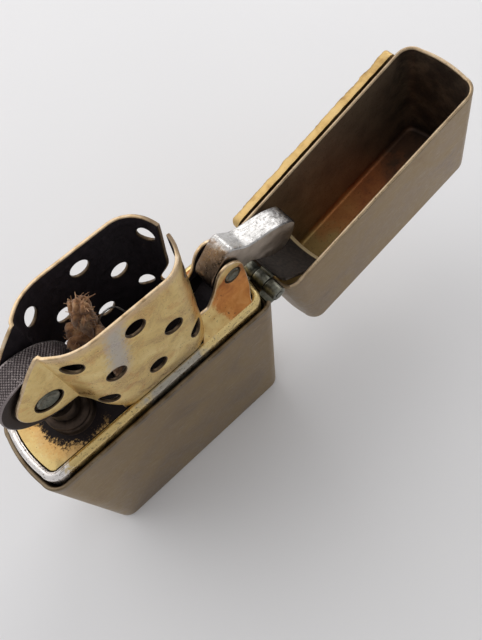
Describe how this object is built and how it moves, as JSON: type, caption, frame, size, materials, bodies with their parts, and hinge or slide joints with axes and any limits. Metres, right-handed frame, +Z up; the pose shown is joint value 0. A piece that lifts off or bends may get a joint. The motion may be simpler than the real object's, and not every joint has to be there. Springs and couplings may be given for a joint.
{
  "type": "pocket lighter",
  "caption": "Refillable windproof pocket lighter with a hinged lid, perforated windscreen, striker wheel, lid cam and wick, shown open.",
  "frame": {"origin": "centre of the case's flat underside", "axes": "+X towards the hinge end, +Z up out of the case, +Y towards the broad face that carries the applied plate; the lid is at its open stop at rest"},
  "size_m": [0.0819, 0.0143, 0.0555],
  "materials": {
    "aged_brass": "satin",
    "warm_brass": "polished",
    "sooty_brass": "matte",
    "gold_plate": "polished",
    "pin_steel": "satin",
    "cam_steel": "satin",
    "wheel_steel": "matte",
    "spring_steel": "satin",
    "flint_metal": "matte",
    "dark_glue": "matte",
    "wick_cotton": "matte",
    "packing_fibre": "matte",
    "felt": "matte"
  },
  "bodies": {
    "case": {"case_shell": "aged_brass", "case_hinge_leaf": "aged_brass", "hinge_pin": "pin_steel", "insert_box": "warm_brass", "windscreen": "warm_brass", "wheel_rivet": "pin_steel", "cam_rivet": "pin_steel", "cam_spring": "spring_steel", "spring_rivet": "warm_brass", "flint_tube": "warm_brass", "tube_ferrule": "sooty_brass", "flint_spring": "spring_steel", "flint_screw": "warm_brass", "wick": "wick_cotton", "wick_wire": "spring_steel", "packing": "packing_fibre", "felt_pad": "felt"},
    "lid": {"lid_shell": "aged_brass", "lid_emblem": "gold_plate", "emblem_glue": "dark_glue"},
    "lid_leaf": {"lid_hinge_leaf": "aged_brass"},
    "cam": {"cam": "cam_steel"},
    "wheel": {"striker_wheel": "wheel_steel"},
    "flint_feed": {"flint": "flint_metal", "flint_plunger": "warm_brass"}
  },
  "joints": [
    {"name": "lid_hinge", "type": "hinge", "parent": "case", "child": "lid", "pos_m": [0.0195, 0, 0.034], "axis": [0, 1, 0], "range_deg": [-162.5, 0]},
    {"name": "leaf_hinge", "type": "hinge", "parent": "case", "child": "lid_leaf", "pos_m": [0.0195, 0, 0.034], "axis": [0, 1, 0], "range_deg": [-128, 0]},
    {"name": "cam_pivot", "type": "hinge", "parent": "case", "child": "cam", "pos_m": [0.0148, 0, 0.0415], "axis": [0, 1, 0], "range_deg": [-107, 0]},
    {"name": "wheel_spin", "type": "hinge", "parent": "case", "child": "wheel", "pos_m": [-0.01035, 0, 0.0472], "axis": [0, 1, 0], "continuous": true},
    {"name": "flint_slide", "type": "slide", "parent": "case", "child": "flint_feed", "axis": [0, 0, 1], "range_m": [-0.002, 0], "stiffness_N_per_m": 120, "springref_m": 0.004, "deforming": ["flint_spring"]}
  ],
  "couplings": [
    {"joint": "leaf_hinge", "follows": "lid_hinge", "ratio": 0.7876},
    {"joint": "cam_pivot", "follows": "lid_hinge", "ratio": 0.658}
  ]
}
